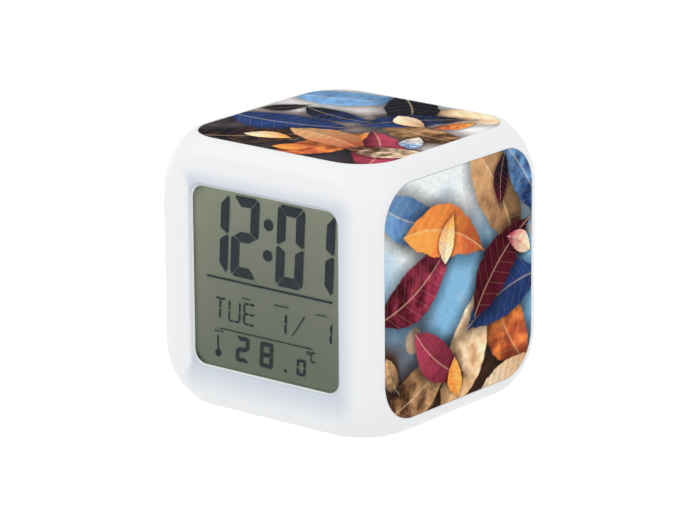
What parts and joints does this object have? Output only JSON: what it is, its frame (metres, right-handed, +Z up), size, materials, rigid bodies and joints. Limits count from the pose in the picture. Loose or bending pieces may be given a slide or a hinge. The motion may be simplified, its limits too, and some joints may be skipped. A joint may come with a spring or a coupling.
{
  "type": "digital alarm clock",
  "caption": "Cube-shaped desk alarm clock with a rounded milky housing, a segment display, flush printed metal panels, and keys, lamp switch, snooze foot and battery door underneath.",
  "frame": {"origin": "on the table under the middle of the clock, at the height of the feet's undersides", "axes": "+Z up, the display faces -Y, +X to the right of someone reading the display"},
  "size_m": [0.08, 0.08, 0.0808],
  "materials": {
    "milky_shell": "milky satin moulding",
    "white_plastic": "satin moulding",
    "print_top": "gloss sublimation print",
    "print_right": "gloss sublimation print",
    "print_left": "gloss sublimation print",
    "print_rear": "gloss sublimation print",
    "adhesive": "foam tape",
    "polariser": "semi matt film",
    "lcd_glass": "clear",
    "lcd_ink": "dark",
    "reflector": "grey green film",
    "diffuser": "frosted",
    "elastomer": "layered",
    "board": "solder mask",
    "steel": "zinc plated",
    "epoxy": "poured blob",
    "bead": "dipped",
    "lamp": "diffused epoxy",
    "foot_rubber": "matt",
    "cell_wrap": "printed sleeve",
    "spring_steel": "nickel plated",
    "black_plastic": "matt",
    "key_plastic": "satin",
    "ribbon_film": "grey film"
  },
  "bodies": {
    "case": {"housing": "milky_shell", "top_panel": "print_top", "right_panel": "print_right", "left_panel": "print_left", "rear_panel": "print_rear", "top_pad": "adhesive", "right_pad": "adhesive", "left_pad": "adhesive", "rear_pad": "adhesive", "lcd_polariser": "polariser", "lcd_front_glass": "lcd_glass", "lcd_seal": "lcd_ink", "lcd_segments": "lcd_ink", "lcd_rear_glass": "lcd_glass", "lcd_reflector": "reflector", "lcd_diffuser": "diffuser", "lcd_holder": "white_plastic", "contact_strip": "elastomer", "main_board": "board", "board_screws": "steel", "driver_chip": "epoxy", "quartz_crystal": "steel", "thermistor": "bead", "glow_lamps": "lamp", "base_plate": "white_plastic", "base_screws": "steel", "rubber_feet": "foot_rubber", "cell_1": "cell_wrap", "cell_2": "cell_wrap", "cell_3": "cell_wrap", "contact_minus": "spring_steel", "contact_link_a": "spring_steel", "contact_link_b": "spring_steel", "contact_plus": "spring_steel", "contact_springs": "spring_steel", "key_board": "board", "control_board": "board", "small_screws": "steel", "tact_switches": "black_plastic", "slide_switch": "steel", "buzzer": "black_plastic", "key_ribbon": "ribbon_film", "control_ribbon": "ribbon_film"},
    "battery_door": {"battery_door": "white_plastic"},
    "mode_key": {"mode_key": "key_plastic"},
    "set_key": {"set_key": "key_plastic"},
    "up_key": {"up_key": "key_plastic"},
    "down_key": {"down_key": "key_plastic"},
    "snooze_foot": {"snooze_foot": "key_plastic"},
    "switch_knob": {"switch_knob": "black_plastic"}
  },
  "joints": [
    {"name": "battery_door_hinge", "type": "hinge", "parent": "case", "child": "battery_door", "pos_m": [0, 0.01625, 0.0018], "axis": [1, 0, 0], "range_deg": [0, 90]},
    {"name": "mode_key_press", "type": "slide", "parent": "case", "child": "mode_key", "axis": [0, 0, 1], "range_m": [0, 0.0006], "stiffness_N_per_m": 300, "springref_m": -0.0004},
    {"name": "set_key_press", "type": "slide", "parent": "case", "child": "set_key", "axis": [0, 0, 1], "range_m": [0, 0.0006], "stiffness_N_per_m": 300, "springref_m": -0.0004},
    {"name": "up_key_press", "type": "slide", "parent": "case", "child": "up_key", "axis": [0, 0, 1], "range_m": [0, 0.0006], "stiffness_N_per_m": 300, "springref_m": -0.0004},
    {"name": "down_key_press", "type": "slide", "parent": "case", "child": "down_key", "axis": [0, 0, 1], "range_m": [0, 0.0006], "stiffness_N_per_m": 300, "springref_m": -0.0004},
    {"name": "snooze_foot_press", "type": "slide", "parent": "case", "child": "snooze_foot", "axis": [0, 0, 1], "range_m": [0, 0.0006], "stiffness_N_per_m": 500, "springref_m": -0.0004},
    {"name": "switch_knob_slide", "type": "slide", "parent": "case", "child": "switch_knob", "axis": [1, 0, 0], "range_m": [0, 0.003]}
  ]
}
